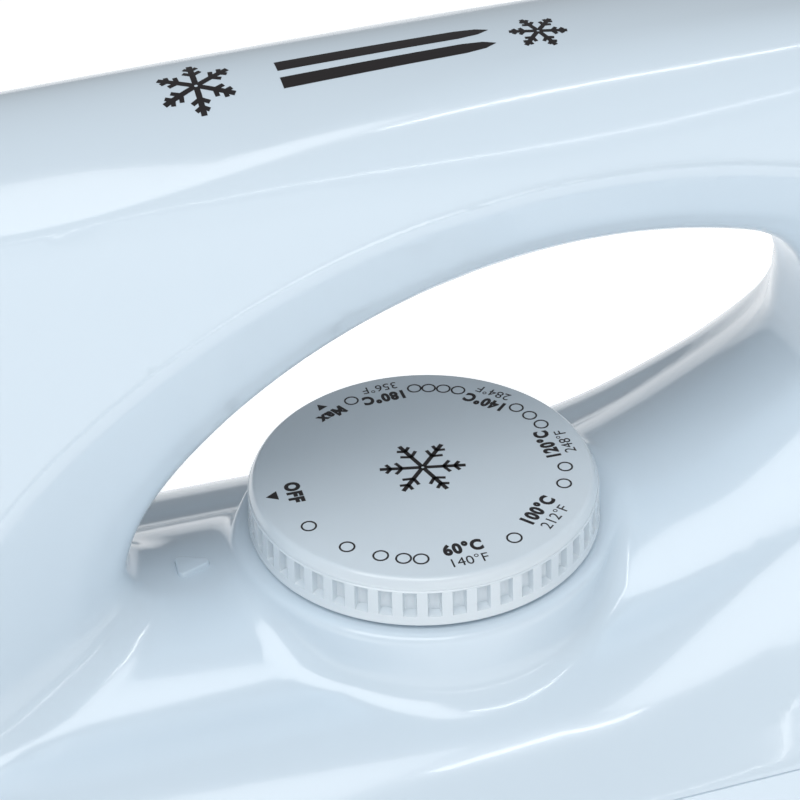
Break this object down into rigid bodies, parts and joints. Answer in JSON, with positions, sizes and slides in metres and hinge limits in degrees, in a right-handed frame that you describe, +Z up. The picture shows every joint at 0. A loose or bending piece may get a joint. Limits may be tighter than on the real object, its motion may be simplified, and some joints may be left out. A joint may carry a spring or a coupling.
{
  "type": "ski waxing iron",
  "caption": "Electric ski waxing iron with a flat heated sole, a glossy housing, a closed loop handle over a hand opening and a round temperature dial on its deck.",
  "frame": {"origin": "on the surface the sole rests on, under the middle of the body", "axes": "+X towards the toe, along the length; +Z up, normal to the sole; +Y across the width"},
  "size_m": [0.21, 0.1, 0.1343],
  "materials": {
    "sole": "machined, smooth underside",
    "element": "heat-tinted steel tube",
    "bright_steel": "plated sheet steel",
    "ceramic": "matt unglazed",
    "housing": "glossy pale bluish white",
    "dial": "glossy pale bluish white with black print",
    "screws": "zinc plated",
    "gland": "matt black rubber",
    "inner_plastic": "matt black nylon",
    "brass": "plain",
    "lead_brown": "silicone sleeve",
    "lead_blue": "silicone sleeve",
    "lead_green": "silicone sleeve",
    "lamp": "clear glass neon lamp",
    "lens": "translucent red"
  },
  "bodies": {
    "root": {"sole_plate": "sole", "heating_element": "element", "element_pins": "bright_steel", "element_beads": "ceramic", "heat_shield": "bright_steel", "lower_skirt": "housing", "sole_screws": "screws", "upper_housing": "housing", "handle_cover": "housing", "housing_screws": "screws", "cover_screw": "screws", "cord_gland": "gland", "cord_clamp": "inner_plastic", "clamp_screws": "screws", "terminal_block": "ceramic", "terminal_screws": "brass", "thermostat_bracket": "bright_steel", "bracket_screws": "screws", "thermostat_bush": "brass", "thermostat_nut": "brass", "pusher_guide": "bright_steel", "stack_insulators": "ceramic", "stack_rivet": "brass", "bimetal_strip": "bright_steel", "fixed_leaf": "brass", "leaf_tag": "brass", "thermal_fuse": "bright_steel", "fuse_clip": "bright_steel", "fuse_screw": "screws", "earth_tag": "brass", "earth_screw": "screws", "lead_live": "lead_brown", "lead_switched": "lead_brown", "lead_neutral": "lead_blue", "lead_fused": "lead_blue", "lead_earth": "lead_green", "lamp_leads": "lead_brown", "pilot_lamp": "lamp", "lamp_lens": "lens"},
    "pusher": {"contact_pusher": "ceramic"},
    "leaf": {"contact_leaf": "brass"},
    "dial": {"thermostat_spindle": "bright_steel", "dial_knob": "dial", "hub_spring": "bright_steel"}
  },
  "joints": [
    {"name": "dial_turn", "type": "hinge", "parent": "root", "child": "dial", "pos_m": [-0.01, 0, 0.052], "axis": [0, 0, -1], "range_deg": [0, 298]},
    {"name": "pusher_slide", "type": "slide", "parent": "root", "child": "pusher", "axis": [0, 0, -1], "range_m": [0, 0.00056]},
    {"name": "leaf_flex", "type": "hinge", "parent": "root", "child": "leaf", "pos_m": [-0.0186, 0, 0.01905], "axis": [0, 1, 0], "range_deg": [0, 3.9]}
  ],
  "couplings": [
    {"joint": "pusher_slide", "follows": "dial_turn", "m_per_rad": 0.0001},
    {"joint": "leaf_flex", "follows": "dial_turn", "ratio": 0.0116}
  ]
}
